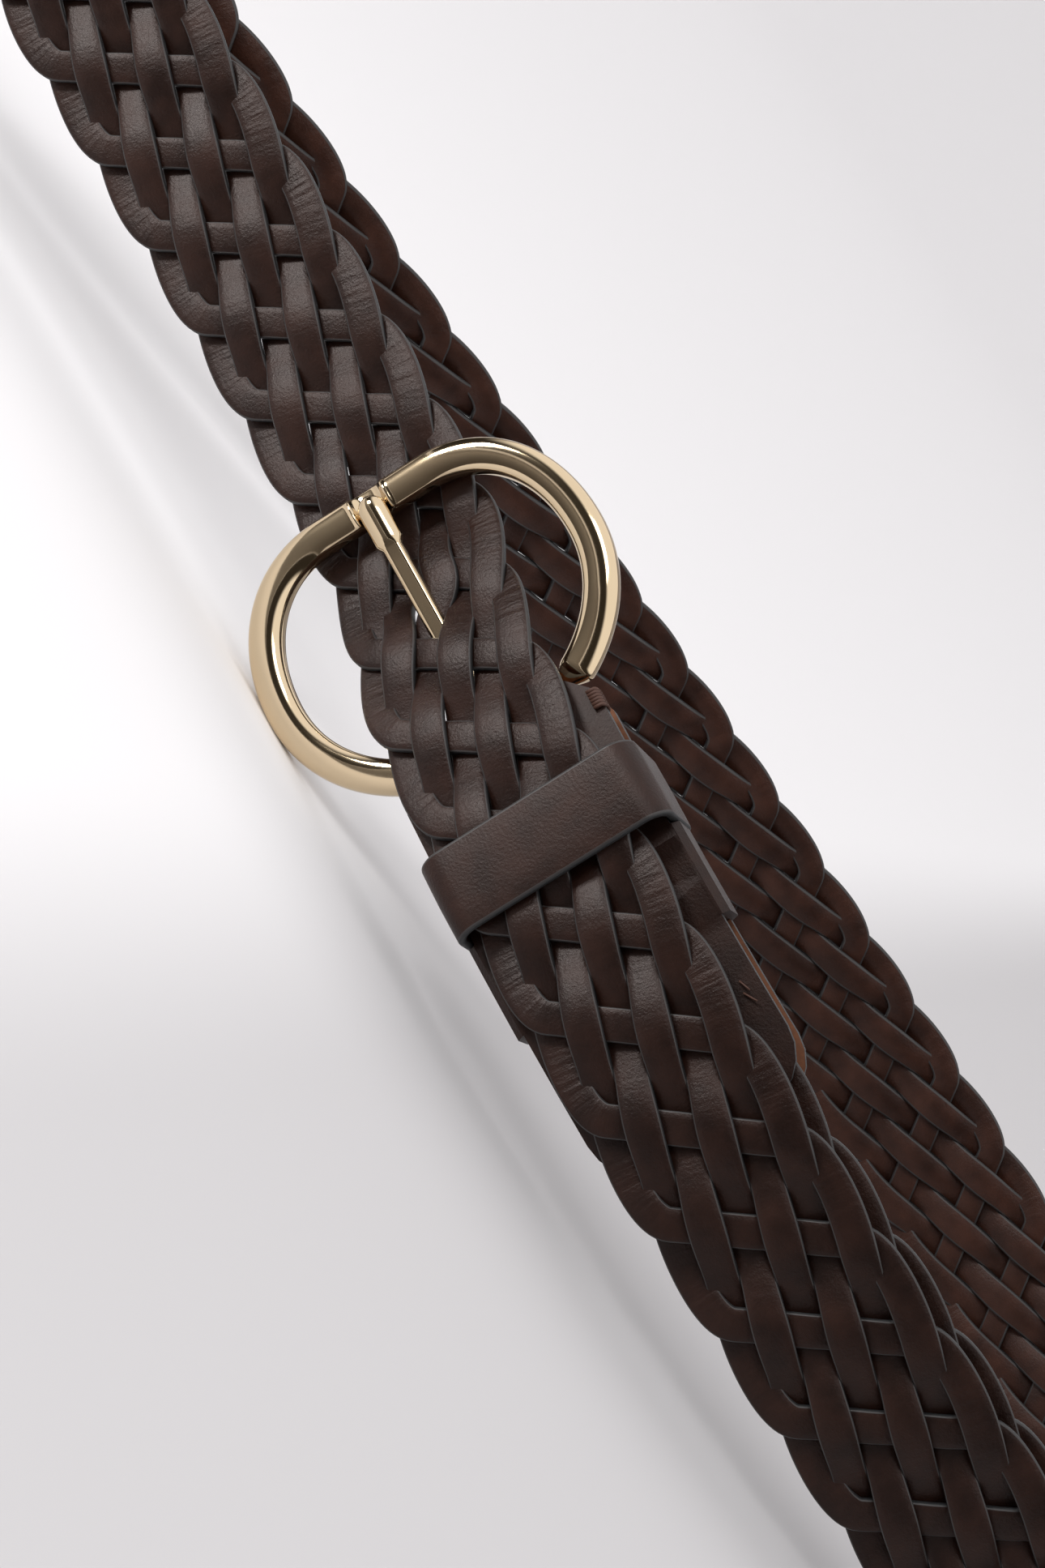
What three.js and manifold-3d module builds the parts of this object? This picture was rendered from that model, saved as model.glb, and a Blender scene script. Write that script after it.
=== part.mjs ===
// A buckled belt: a flat braid of leather strands with an oval pin buckle, standing on its edge.
// Sizes are in millimetres and +Z is up.
// The belt is first built with the middle of its buckle's pivot bar at the origin and its width along Z.
// It is then tipped a little, because the buckle is wider than the strap and carries the front.
// Along the belt, a distance counts from the pivot bar towards the free end, once round the loop.

import * as THREE from 'three';
import { mergeVertices } from 'three/addons/utils/BufferGeometryUtils.js';
import Module from 'manifold-3d';

const wasm = await Module();
wasm.setup();

// Loop and braided strap
const loopLength = 1035;
const notchWidth = 28;
const scallopHeight = 2.3;
const braidPitch = 18.1;
const notchPhase = 0.25;
const strapThickness = 4.2;
const strapEdgeThickness = 1.8;
const strapEdgeChamfer = 1.5;
const strapDriftLeft = 2;
const strapDriftOver = -1.6;
const layerGap = 0.3;

// Free end
const freeLength = 205;
const tabFallLength = 18;
const tipRiseLength = 30;
const tipCoverLength = 39;
const tipCoverOverlap = 9;
const tipCoverWidth = 35;
const tipCoverWall = 1.3;
const tipEdgeThickness = 3;

// Buckle frame, its bar and its tongue
const frameWidth = 65.6;
const frameReach = 45.8;
const frameBand = 6.2;
const frameDepth = 4.6;
const frameEndDepth = 3.9;
const frameFlatLength = 20;
const frameWidestReach = 22.2;
const frameCorner = 0.8;
const barClearance = 0.4;
const pivotDiameter = 3;
const pivotClearance = 0.3;
const tongueWidth = 5.1;
const tongueNeckWidth = 3.6;
const tongueNeckReach = 36.3;
const tongueThickness = 3.4;
const tongueNeckThickness = 2.9;
const tongueEyeWall = 1.2;
const tongueClearance = 0.35;
const tongueOverhang = 0.9;
const notchDepth = 1.8;

// Fullness of the frame's outline: how far each curve's handle goes, as a share of the distance it spans
const frameFullness = {
  flatBar: 0.62,
  aboveWidest: 0.55,
  belowWidest: 0.52,
  shoulderReach: 0.2,
  shoulderRise: 0.5,
};

// End tab, folded round the pivot bar, and the keeper loop
const tabThickness = 1.6;
const tabWidth = 37;
const tabFoldWidth = 27;
const tabLength = 79;
const tabInnerExtra = 1.5;
const tabCornerRadius = 9;
const tabSlotLength = 7;
const wrapLength = 16.7;
const wrapThickness = 1.4;
const wrapBend = 1.2;
const wrapBite = 0.5;
const braidStart = 9;
const keeperStart = 19.2;
const keeperWidth = 13.9;
const keeperThickness = 1.4;
const keeperCornerRadius = 4.5;

// How far the leather edge is pressed flat where the belt stands
const flattenedDepth = 0.5;

// The loop seen from above, as a chain of arcs from the pivot bar.
// Each has a share of the loop's length, and a turn in degrees.
const planArcs = [
  { share: 0.115, turn: 41 },
  { share: 0.079, turn: 22 },
  { share: 0.105, turn: 47 },
  { share: 0.108, turn: 77 },
  { share: 0.117, turn: 41 },
  { share: 0.135, turn: 19 },
  { share: 0.093, turn: -15 },
  { share: 0.030, turn: -28 },
  { share: 0.056, turn: 182 },
  { share: 0.067, turn: -6 },
  { share: 0.095, turn: -20 },
];
const planSteps = 1000;
const planBlend = 0.012;

// Half thicknesses and the distances between the middles of the layers
const halfStrap = strapThickness / 2;
const foldInner = halfStrap + layerGap;
const foldOuter = foldInner + tabThickness;
const overTab = foldOuter + layerGap + halfStrap;
const overStrap = 2 * halfStrap + layerGap;
const tipHalf = halfStrap + layerGap + tipCoverWall;
const overTip = halfStrap + layerGap + tipHalf;
const underBar = halfStrap + barClearance + frameDepth / 2;
const wrapStart = keeperStart + keeperWidth + layerGap;
const braidEnd = loopLength + freeLength - tipCoverLength + tipCoverOverlap;

function turnedBy(share) {
  let turn = 0;
  let left = share;
  for (const arc of planArcs) {
    turn += arc.turn * Math.min(1, Math.max(0, left / arc.share));
    left -= arc.share;
  }
  return turn;
}

// The heading at a share of the loop, averaged over a short stretch so that no arc starts abruptly
function smoothTurn(share) {
  let sum = 0;
  const samples = 9;
  for (let i = 0; i < samples; i += 1) {
    const at = share + planBlend * (2 * i / (samples - 1) - 1);
    const laps = Math.floor(at);
    sum += turnedBy(at - laps) + 360 * laps;
  }
  return THREE.MathUtils.degToRad(sum / samples);
}

function tracePlan() {
  const step = loopLength / planSteps;
  const points = [new THREE.Vector2()];
  for (let i = 0; i < planSteps; i += 1) {
    const heading = smoothTurn((i + 0.5) / planSteps);
    const move = new THREE.Vector2(Math.cos(heading), Math.sin(heading)).multiplyScalar(step);
    points.push(points[i].clone().add(move));
  }
  const miss = points[planSteps].clone();
  points.forEach((point, i) => point.addScaledVector(miss, -i / planSteps));
  return points;
}

const planPoints = tracePlan();
let planTurn = 0;

// A place on the belt: distance along it, offset outwards from the lower strap's middle, and height
function place(distance, out, up) {
  const share = distance / loopLength;
  const lap = share - Math.floor(share);
  const index = Math.min(planSteps - 1, Math.floor(lap * planSteps));
  const rest = lap * planSteps - index;
  const point = planPoints[index].clone().lerp(planPoints[index + 1], rest);
  const heading = smoothTurn(lap);
  point.add(new THREE.Vector2(Math.sin(heading), -Math.cos(heading)).multiplyScalar(out));
  point.rotateAround(new THREE.Vector2(), planTurn);
  return new THREE.Vector3(point.x, point.y, up);
}

// The loop is turned so that the buckle frame, from its pivot bar to its outer bar, lies along -X
const outerBarPlace = place(-frameReach, underBar, 0);
planTurn = Math.PI - Math.atan2(outerBarPlace.y, outerBarPlace.x);

function ease(value, from, to) {
  const t = Math.min(1, Math.max(0, (value - from) / (to - from)));
  return t * t * (3 - 2 * t);
}

// Outward offset of the strap's middle: flat in the loop, over the pivot bar and tab, then on the lower strap
function strapOut(distance) {
  const past = distance - loopLength;
  const tabEnd = tabLength + tabInnerExtra;
  const tipStart = freeLength - tipCoverLength;
  const rise = overTab * ease(past, -frameReach + frameBand / 2, -foldOuter);
  const fall = (overStrap - overTab) * ease(past, tabEnd, tabEnd + tabFallLength);
  const lift = (overTip - overStrap) * ease(past, tipStart - tipRiseLength, tipStart);
  return rise + fall + lift;
}

// Sideways drift of the strap on its way round, and back across the buckle
function strapUp(distance) {
  const past = distance - loopLength;
  const drift = strapDriftLeft * ease(distance, tabLength, loopLength - frameReach - braidPitch);
  return drift + (strapDriftOver - strapDriftLeft) * ease(past, -frameReach, 0);
}

// Half width of the braid: an arc between two notches, on both edges alike.
// The phase says how far, in pitches, the pivot bar lies past a notch.
function strapHalfWidth(distance) {
  const pitches = (distance - loopLength) / braidPitch + notchPhase;
  const between = 2 * (pitches - Math.floor(pitches)) - 1;
  return notchWidth / 2 + scallopHeight * (1 - between * between);
}

function toGeometry(points, triangles) {
  const positions = points.flatMap((point) => [point.x, point.y, point.z]);
  const geometry = new THREE.BufferGeometry();
  geometry.setAttribute('position', new THREE.Float32BufferAttribute(positions, 3));
  geometry.setIndex(triangles);
  return geometry;
}

// A closed solid through rings of as many points each; an unclosed row of rings gets two end caps
function loft(rings, closed = false) {
  const count = rings[0].length;
  const points = rings.flat();
  const triangles = [];
  const last = closed ? rings.length : rings.length - 1;
  for (let i = 0; i < last; i += 1) {
    const a = i * count;
    const b = ((i + 1) % rings.length) * count;
    for (let k = 0; k < count; k += 1) {
      const next = (k + 1) % count;
      triangles.push(a + k, a + next, b + k);
      triangles.push(a + next, b + next, b + k);
    }
  }
  const end = (rings.length - 1) * count;
  for (let k = 1; k < count - 1 && !closed; k += 1) {
    triangles.push(0, k + 1, k);
    triangles.push(end, end + k, end + k + 1);
  }
  let volume = 0;
  for (let i = 0; i < triangles.length; i += 3) {
    const [p, q, r] = [0, 1, 2].map((k) => points[triangles[i + k]]);
    volume += p.dot(q.clone().cross(r));
  }
  if (volume < 0) {
    triangles.reverse();
  }
  return toGeometry(points, triangles);
}

function toManifold(geometry) {
  const bare = new THREE.BufferGeometry();
  bare.setAttribute('position', geometry.getAttribute('position'));
  bare.setIndex(geometry.getIndex());
  const merged = mergeVertices(bare, 1e-4);
  const vertProperties = new Float32Array(merged.getAttribute('position').array);
  const triVerts = new Uint32Array(merged.getIndex().array);
  return new wasm.Manifold(new wasm.Mesh({ numProp: 3, vertProperties, triVerts }));
}

function fromManifold(solid) {
  const mesh = solid.getMesh();
  const geometry = new THREE.BufferGeometry();
  geometry.setAttribute('position', new THREE.BufferAttribute(new Float32Array(mesh.vertProperties), 3));
  geometry.setIndex(new THREE.BufferAttribute(new Uint32Array(mesh.triVerts), 1));
  return geometry;
}

function makeMesh(name, geometry, material) {
  const shown = geometry.toNonIndexed();
  shown.computeVertexNormals();
  const mesh = new THREE.Mesh(shown, material);
  mesh.name = name;
  return mesh;
}

// Section of the braid: eight corners, thinner at its edges
function strapSection(distance, grow) {
  const half = strapHalfWidth(distance) + grow;
  const thick = halfStrap + grow;
  const edge = strapEdgeThickness / 2 + grow;
  const inner = half - strapEdgeChamfer;
  const corners = [
    [thick, -inner], [thick, inner], [edge, half], [-edge, half],
    [-thick, inner], [-thick, -inner], [-edge, -half], [edge, -half],
  ];
  const out = strapOut(distance);
  const up = strapUp(distance);
  return corners.map(([across, along]) => place(distance, out + across, up + along));
}

function makeStrap(from, to, grow = 0) {
  const step = braidPitch / 6;
  const count = Math.round((to - from) / step);
  const rings = [];
  for (let i = 0; i <= count; i += 1) {
    rings.push(strapSection(to - (count - i) * step, grow));
  }
  return toManifold(loft(rings));
}

// Middle line of the frame's band: a flat outer bar, round sides and two shoulders at the pivot
function frameLine() {
  const full = frameFullness;
  const widest = (frameWidth - frameBand) / 2;
  const flat = frameFlatLength / 2;
  const shoulder = tabFoldWidth / 2 + frameBand / 2 + layerGap;
  const flatEnd = new THREE.Vector2(-frameReach, flat);
  const side = new THREE.Vector2(-frameWidestReach, widest);
  const end = new THREE.Vector2(-pivotDiameter / 4, shoulder);
  const rise = full.shoulderRise * (widest - shoulder);
  const upper = new THREE.CubicBezierCurve(
    flatEnd,
    new THREE.Vector2(-frameReach, flat + full.flatBar * (widest - flat)),
    new THREE.Vector2(-frameWidestReach - full.aboveWidest * (frameReach - frameWidestReach), widest),
    side,
  );
  const lower = new THREE.CubicBezierCurve(
    side,
    new THREE.Vector2(-full.belowWidest * frameWidestReach, widest),
    new THREE.Vector2(-full.shoulderReach * frameWidestReach, shoulder + rise),
    end,
  );
  const half = [...upper.getPoints(12), ...lower.getPoints(12).slice(1)];
  const other = half.map((point) => new THREE.Vector2(point.x, -point.y)).reverse();
  return [...other, ...half];
}

// The frame's section: an oval with slightly squared corners, flatter where it ends between the tab's layers
function frameSection(middle, normal) {
  const sides = 12;
  const ring = [];
  const depth = THREE.MathUtils.lerp(frameDepth, frameEndDepth, ease(middle.x, -frameWidestReach / 2, 0));
  for (let k = 0; k < sides; k += 1) {
    const angle = 2 * Math.PI * (k + 0.5) / sides;
    const across = Math.cos(angle);
    const front = Math.sin(angle);
    const wide = Math.sign(across) * Math.abs(across) ** frameCorner * frameBand / 2;
    const deep = Math.sign(front) * Math.abs(front) ** frameCorner * depth / 2;
    ring.push(new THREE.Vector3(middle.x + normal.x * wide, deep, middle.y + normal.y * wide));
  }
  return ring;
}

// The frame has a notch for the tongue in its outer bar; its pivot bar is left whole
function makeFrame(tongueRoom) {
  const line = frameLine();
  const rings = line.map((middle, i) => {
    const before = line[Math.max(0, i - 1)];
    const after = line[Math.min(line.length - 1, i + 1)];
    const along = after.clone().sub(before).normalize();
    return frameSection(middle, new THREE.Vector2(along.y, -along.x));
  });
  const band = toManifold(loft(rings)).subtract(tongueRoom);
  const barLength = 2 * line[line.length - 1].y;
  const bar = new THREE.CylinderGeometry(pivotDiameter / 2, pivotDiameter / 2, barLength, 16);
  bar.rotateX(Math.PI / 2);
  return band.add(toManifold(bar));
}

// The tongue: an eye on the pivot bar, a slimmer neck and a faceted end that rests in the outer bar's notch
function makeTongue(grow) {
  const restOut = frameDepth / 2 - notchDepth + tongueThickness / 2;
  const tip = frameReach + tongueOverhang;
  const start = pivotDiameter / 2 + pivotClearance + tongueEyeWall / 10;
  const neckWide = tongueNeckWidth / tongueWidth;
  const neckThick = tongueNeckThickness / tongueThickness;
  const stations = [
    { reach: start, wide: neckWide, thick: neckThick },
    { reach: tongueNeckReach, wide: neckWide, thick: neckThick },
    { reach: tongueNeckReach + (tongueWidth - tongueNeckWidth), wide: 1, thick: 1 },
    { reach: tip - 0.62 * tongueWidth, wide: 1, thick: 1 },
    { reach: tip - 0.35 * tongueWidth, wide: 0.88, thick: 0.94 },
    { reach: tip - 0.13 * tongueWidth, wide: 0.62, thick: 0.8 },
    { reach: tip, wide: 0.25, thick: 0.5 },
  ];
  const rings = stations.map(({ reach, wide, thick }, i) => {
    const halfWide = wide * tongueWidth / 2 + grow;
    const halfThick = thick * tongueThickness / 2 + grow;
    const endShift = i === stations.length - 1 ? grow : 0;
    const middle = restOut * reach / frameReach;
    const corners = [
      [0.45, 1], [1, 0.35], [1, -0.5], [0.6, -1], [-0.6, -1], [-1, -0.5], [-1, 0.35], [-0.45, 1],
    ];
    return corners.map(([across, front]) => new THREE.Vector3(
      -reach - endShift,
      -middle - front * halfThick,
      across * halfWide,
    ));
  });
  const shank = toManifold(loft(rings));
  const eyeOuter = pivotDiameter / 2 + pivotClearance + tongueEyeWall + grow;
  const eyeShape = new THREE.Shape();
  eyeShape.absarc(0, 0, eyeOuter, 0, 2 * Math.PI);
  const eyeHole = new THREE.Path();
  eyeHole.absarc(0, 0, pivotDiameter / 2 + pivotClearance, 0, 2 * Math.PI);
  eyeShape.holes.push(eyeHole);
  const depth = tongueWidth + 2 * grow;
  const eye = new THREE.ExtrudeGeometry(eyeShape, { depth, bevelEnabled: false, curveSegments: 16 });
  eye.translate(0, 0, -depth / 2);
  return toManifold(eye).add(shank);
}

// Half width of the tab: narrow at its fold, then full, with rounded corners at its end
function tabHalfWidth(distance, length) {
  const full = THREE.MathUtils.lerp(tabFoldWidth, tabWidth, ease(distance, 0, 2 * foldOuter)) / 2;
  const into = Math.min(tabCornerRadius, Math.max(0, distance - length + tabCornerRadius));
  return full - tabCornerRadius + Math.sqrt(tabCornerRadius ** 2 - into ** 2);
}

function tabStations(length) {
  const stations = [];
  const straight = length - tabCornerRadius;
  const widened = 2 * foldOuter;
  for (let i = 0; i < 4; i += 1) {
    stations.push(widened * i / 4);
  }
  for (let i = 0; i <= 7; i += 1) {
    stations.push(widened + (straight - widened) * i / 7);
  }
  for (let i = 1; i <= 5; i += 1) {
    stations.push(straight + tabCornerRadius * Math.sin(Math.PI / 2 * i / 5));
  }
  return stations;
}

function makeTab() {
  const rings = [];
  const addLayer = (distance, side, half) => {
    const outs = side > 0 ? [foldInner, foldOuter] : [-foldInner, -foldOuter];
    rings.push([
      place(distance, outs[0], -half), place(distance, outs[0], half),
      place(distance, outs[1], half), place(distance, outs[1], -half),
    ]);
  };
  const outerLength = tabLength;
  const innerLength = tabLength + tabInnerExtra;
  for (const distance of tabStations(outerLength).reverse()) {
    addLayer(distance, 1, tabHalfWidth(distance, outerLength));
  }
  const ahead = place(1, 0, 0).normalize();
  const outwards = place(0, 1, 0);
  const half = tabFoldWidth / 2;
  for (let i = 1; i < 8; i += 1) {
    const angle = Math.PI * i / 8;
    const spoke = outwards.clone().multiplyScalar(Math.cos(angle)).addScaledVector(ahead, -Math.sin(angle));
    rings.push([[foldInner, -half], [foldInner, half], [foldOuter, half], [foldOuter, -half]].map(
      ([radius, up]) => new THREE.Vector3(spoke.x * radius, spoke.y * radius, up),
    ));
  }
  for (const distance of tabStations(innerLength)) {
    addLayer(distance, -1, tabHalfWidth(distance, innerLength));
  }
  let tab = toManifold(loft(rings));
  for (const side of [-1, 1]) {
    tab = tab.add(makeWrapSide(side));
  }
  const slot = new THREE.BoxGeometry(
    foldOuter + tabSlotLength + 1,
    4 * foldOuter,
    tongueWidth + 2 * tongueClearance,
  );
  slot.translate((tabSlotLength - foldOuter - 1) / 2, 0, 0);
  return tab.subtract(toManifold(slot));
}

// One side of the short wrap that closes the two layers of the tab
function makeWrapSide(side) {
  const rings = [];
  const inner = side * (tabWidth / 2 - wrapBite);
  const outer = side * (tabWidth / 2 + wrapThickness);
  const turned = outer - side * wrapBend;
  for (let i = 0; i <= 3; i += 1) {
    const distance = wrapStart + wrapLength * i / 3;
    rings.push([
      [foldOuter, inner], [foldOuter, turned], [foldOuter - wrapBend, outer],
      [wrapBend - foldOuter, outer], [-foldOuter, turned], [-foldOuter, inner],
    ].map(([out, up]) => place(distance, out, up)));
  }
  return toManifold(loft(rings));
}

// The keeper: a closed leather loop round the tab and the free end
function makeKeeper() {
  const half = tabWidth / 2 + layerGap;
  const low = -foldOuter - layerGap;
  const high = overTab + halfStrap + layerGap;
  const frontRadius = keeperCornerRadius - keeperThickness;
  const backRadius = 2 * layerGap;
  const corners = [
    { out: high, up: half, radius: frontRadius },
    { out: high, up: -half, radius: frontRadius },
    { out: low, up: -half, radius: backRadius },
    { out: low, up: half, radius: backRadius },
  ];
  const rings = [];
  for (const [quarter, { out, up, radius }] of corners.entries()) {
    const outMiddle = out - Math.sign(out) * radius;
    const upMiddle = up - Math.sign(up) * radius;
    for (let i = 0; i <= 5; i += 1) {
      const angle = Math.PI / 2 * (quarter + i / 5);
      const spoke = { out: Math.sin(angle), up: Math.cos(angle) };
      rings.push(keeperRing(outMiddle, upMiddle, spoke, radius));
    }
  }
  return toManifold(loft(rings, true));
}

function keeperRing(outMiddle, upMiddle, spoke, radius) {
  const end = keeperStart + keeperWidth;
  const outside = radius + keeperThickness;
  const corners = [[keeperStart, radius], [end, radius], [end, outside], [keeperStart, outside]];
  return corners.map(([distance, reach]) => place(
    distance,
    outMiddle + spoke.out * reach,
    upMiddle + spoke.up * reach,
  ));
}

// The free end's plain leather cover: two layers over the end of the braid, closed and thin at the tip
function makeTipCover() {
  const start = loopLength + freeLength - tipCoverLength;
  const rounding = tipCoverWidth / 2;
  const shares = [0, 0.2, 0.35, 0.5, 0.62, 0.74, 0.84, 0.92, 0.97, 1];
  const rings = shares.map((share) => {
    const distance = start + share * tipCoverLength;
    const into = Math.max(0, distance - (loopLength + freeLength - rounding)) / rounding;
    const half = Math.max(0.12, Math.sqrt(1 - Math.min(1, into * into))) * tipCoverWidth / 2;
    const solidPart = ease(distance, braidEnd, loopLength + freeLength);
    const thick = THREE.MathUtils.lerp(tipHalf, tipEdgeThickness / 2, solidPart);
    const out = strapOut(distance);
    const up = strapUp(distance);
    return [[thick, -half], [thick, half], [-thick, half], [-thick, -half]].map(
      ([across, along]) => place(distance, out + across, up + along),
    );
  });
  const room = makeStrap(start - 2 * braidPitch, braidEnd + layerGap, layerGap);
  return toManifold(loft(rings)).subtract(room);
}

// Lowest height of a solid over a floor whose upward direction is given
function lowest(solid, upward) {
  const { vertProperties } = solid.getMesh();
  let low = Infinity;
  const point = new THREE.Vector3();
  for (let i = 0; i < vertProperties.length; i += 3) {
    point.fromArray(vertProperties, i);
    low = Math.min(low, point.dot(upward));
  }
  return low;
}

// The upward direction at which the belt stands on the buckle and on the far side of the strap
function standingUp(strap, frame) {
  const middle = new THREE.Vector2();
  planPoints.forEach((point) => middle.addScaledVector(point, 1 / planPoints.length));
  middle.rotateAround(new THREE.Vector2(), planTurn);
  const towards = middle.add(new THREE.Vector2(frameWidestReach, 0)).normalize();
  const upwardAt = (angle) => new THREE.Vector3(
    -towards.x * Math.sin(angle),
    -towards.y * Math.sin(angle),
    Math.cos(angle),
  );
  let [less, more] = [0, 0.4];
  for (let i = 0; i < 40; i += 1) {
    const angle = (less + more) / 2;
    const upward = upwardAt(angle);
    if (lowest(strap, upward) + flattenedDepth < lowest(frame, upward)) {
      more = angle;
    } else {
      less = angle;
    }
  }
  return upwardAt(more);
}

// What lies under the floor, taken off the strap's edge where it is pressed flat
function floorBlock(upward, level) {
  const block = new THREE.BoxGeometry(2 * loopLength, 2 * loopLength, frameWidth);
  block.translate(0, 0, -frameWidth / 2);
  block.applyQuaternion(new THREE.Quaternion().setFromUnitVectors(new THREE.Vector3(0, 0, 1), upward));
  block.translate(upward.x * level, upward.y * level, upward.z * level);
  return toManifold(block);
}

const braidLeather = new THREE.MeshStandardMaterial({ color: 0x2c1d19, roughness: 0.45, metalness: 0 });
const tabLeather = new THREE.MeshStandardMaterial({ color: 0x2a1b17, roughness: 0.5, metalness: 0 });
const keeperLeather = new THREE.MeshStandardMaterial({ color: 0x301f1a, roughness: 0.42, metalness: 0 });
const tipLeather = new THREE.MeshStandardMaterial({ color: 0x2a1b17, roughness: 0.48, metalness: 0 });
const frameMetal = new THREE.MeshStandardMaterial({ color: 0xd2bd8f, roughness: 0.12, metalness: 1 });
const tongueMetal = new THREE.MeshStandardMaterial({ color: 0xcdb98c, roughness: 0.15, metalness: 1 });

const tongueRoom = makeTongue(tongueClearance);
const frameSolid = makeFrame(tongueRoom);
const wholeStrap = makeStrap(braidStart, braidEnd).subtract(tongueRoom);
const upward = standingUp(wholeStrap, frameSolid);
const strapSolid = wholeStrap.subtract(floorBlock(upward, lowest(frameSolid, upward)));

const belt = new THREE.Group();
belt.add(
  makeMesh('braided_strap', fromManifold(strapSolid), braidLeather),
  makeMesh('buckle_frame', fromManifold(frameSolid), frameMetal),
  makeMesh('buckle_tongue', fromManifold(makeTongue(0)), tongueMetal),
  makeMesh('end_tab', fromManifold(makeTab()), tabLeather),
  makeMesh('keeper_loop', fromManifold(makeKeeper()), keeperLeather),
  makeMesh('tip_cover', fromManifold(makeTipCover()), tipLeather),
);
belt.quaternion.setFromUnitVectors(upward, new THREE.Vector3(0, 0, 1));
belt.updateMatrixWorld(true);

const extent = new THREE.Box3().setFromObject(belt, true);
belt.position.set(-(extent.min.x + extent.max.x) / 2, -(extent.min.y + extent.max.y) / 2, -extent.min.z);

const group = new THREE.Group();
group.add(belt);

export default group;
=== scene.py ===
import math
import bmesh
import bpy
import numpy as np
from mathutils import Matrix, Vector


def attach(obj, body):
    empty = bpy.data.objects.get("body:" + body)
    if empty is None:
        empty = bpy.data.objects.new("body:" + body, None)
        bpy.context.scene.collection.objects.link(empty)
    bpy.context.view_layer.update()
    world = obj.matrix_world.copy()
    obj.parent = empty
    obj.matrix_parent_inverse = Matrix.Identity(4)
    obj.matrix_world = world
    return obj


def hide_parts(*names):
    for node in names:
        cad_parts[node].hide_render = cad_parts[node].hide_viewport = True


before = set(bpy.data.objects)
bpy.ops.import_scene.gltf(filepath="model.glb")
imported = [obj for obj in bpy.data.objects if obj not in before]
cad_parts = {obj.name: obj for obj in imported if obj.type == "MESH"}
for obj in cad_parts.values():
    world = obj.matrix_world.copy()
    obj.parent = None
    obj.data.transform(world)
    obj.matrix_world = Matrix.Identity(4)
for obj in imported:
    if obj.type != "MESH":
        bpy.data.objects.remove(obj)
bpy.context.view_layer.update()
print("frame loaded")


# The course of the belt, and how it stands in the frame

belt = {
    "loopLength": 1035,
    "arcs": [  # share of the loop, turn in degrees
        (0.115, 41), (0.079, 22), (0.105, 47), (0.108, 77), (0.117, 41), (0.135, 19),
        (0.093, -15), (0.030, -28), (0.056, 182), (0.067, -6), (0.095, -20),
    ],
    "arcBlend": 0.012,
    "strapThickness": 4.2,
    "layerGap": 0.3,
    "driftLeft": 2,
    "driftOver": -1.6,
    "freeLength": 205,
    "tabFall": 18,
    "tipRise": 30,
    "pivotPlace": (-7.596, -116.820, 32.158),
    "widthWay": (-0.024351, -0.055394, 0.998168),
}
buckle = {
    "width": 65.6,
    "reach": 45.8,
    "band": 6.2,
    "depth": 4.6,
    "endDepth": 3.9,
    "flatLength": 20,
    "widestReach": 22.2,
    "barClearance": 0.4,
    "pivotDiameter": 3,
}
tab = {"thickness": 1.6, "width": 37, "foldWidth": 27, "length": 79, "innerExtra": 1.5}
tipCover = {"length": 39, "overlap": 9, "wall": 1.3}

halfStrap = belt["strapThickness"] / 2
foldInner = halfStrap + belt["layerGap"]
foldOuter = foldInner + tab["thickness"]
overTab = foldOuter + belt["layerGap"] + halfStrap
overStrap = 2 * halfStrap + belt["layerGap"]
overTip = 2 * (halfStrap + belt["layerGap"]) + tipCover["wall"]
underBar = halfStrap + buckle["barClearance"] + buckle["depth"] / 2
planSteps = 1000


def turnedBy(share):
    shares = np.cumsum([0] + [arc[0] for arc in belt["arcs"]])
    turns = np.cumsum([0] + [arc[1] for arc in belt["arcs"]])
    return np.interp(share, shares, turns)


def heading(lap):  # averaged over a short stretch, so no arc starts abruptly
    samples = 9
    total = 0
    for i in range(samples):
        at = np.asarray(lap, float) + belt["arcBlend"] * (2 * i / (samples - 1) - 1)
        laps = np.floor(at)
        total = total + turnedBy(at - laps) + 360 * laps
    return np.radians(total / samples)


def tracePlan():
    ways = heading((np.arange(planSteps) + 0.5) / planSteps)
    moves = np.stack([np.cos(ways), np.sin(ways)], 1) * belt["loopLength"] / planSteps
    points = np.concatenate([[[0, 0]], np.cumsum(moves, axis=0)])
    return points - points[-1] * (np.arange(planSteps + 1) / planSteps)[:, None]


planPoints = tracePlan()
planTurn = 0


# A point beside the pivot bar, from its distance along the belt, its offset outwards and its height
def place(distance, out, up):
    distance, out, up = np.broadcast_arrays(np.asarray(distance, float), out, up)
    lap = distance / belt["loopLength"] % 1
    marks = np.arange(planSteps + 1)
    way = heading(lap)
    x = np.interp(lap * planSteps, marks, planPoints[:, 0]) + np.sin(way) * out
    y = np.interp(lap * planSteps, marks, planPoints[:, 1]) - np.cos(way) * out
    c, s = math.cos(planTurn), math.sin(planTurn)
    return np.stack([c * x - s * y, s * x + c * y, up], -1)


barPlace = place(-buckle["reach"], underBar, 0)
planTurn = math.pi - math.atan2(barPlace[1], barPlace[0])
tipping = Vector(belt["widthWay"]).rotation_difference(Vector((0, 0, 1))).to_matrix()
tippingRows = np.array(tipping)


def toScene(points):  # millimetres beside the pivot bar to metres in the frame
    return (np.asarray(points, float) @ tippingRows.T + np.array(belt["pivotPlace"])) / 1000


def ease(value, start, end):
    t = np.clip((np.asarray(value, float) - start) / (end - start), 0, 1)
    return t * t * (3 - 2 * t)


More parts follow.
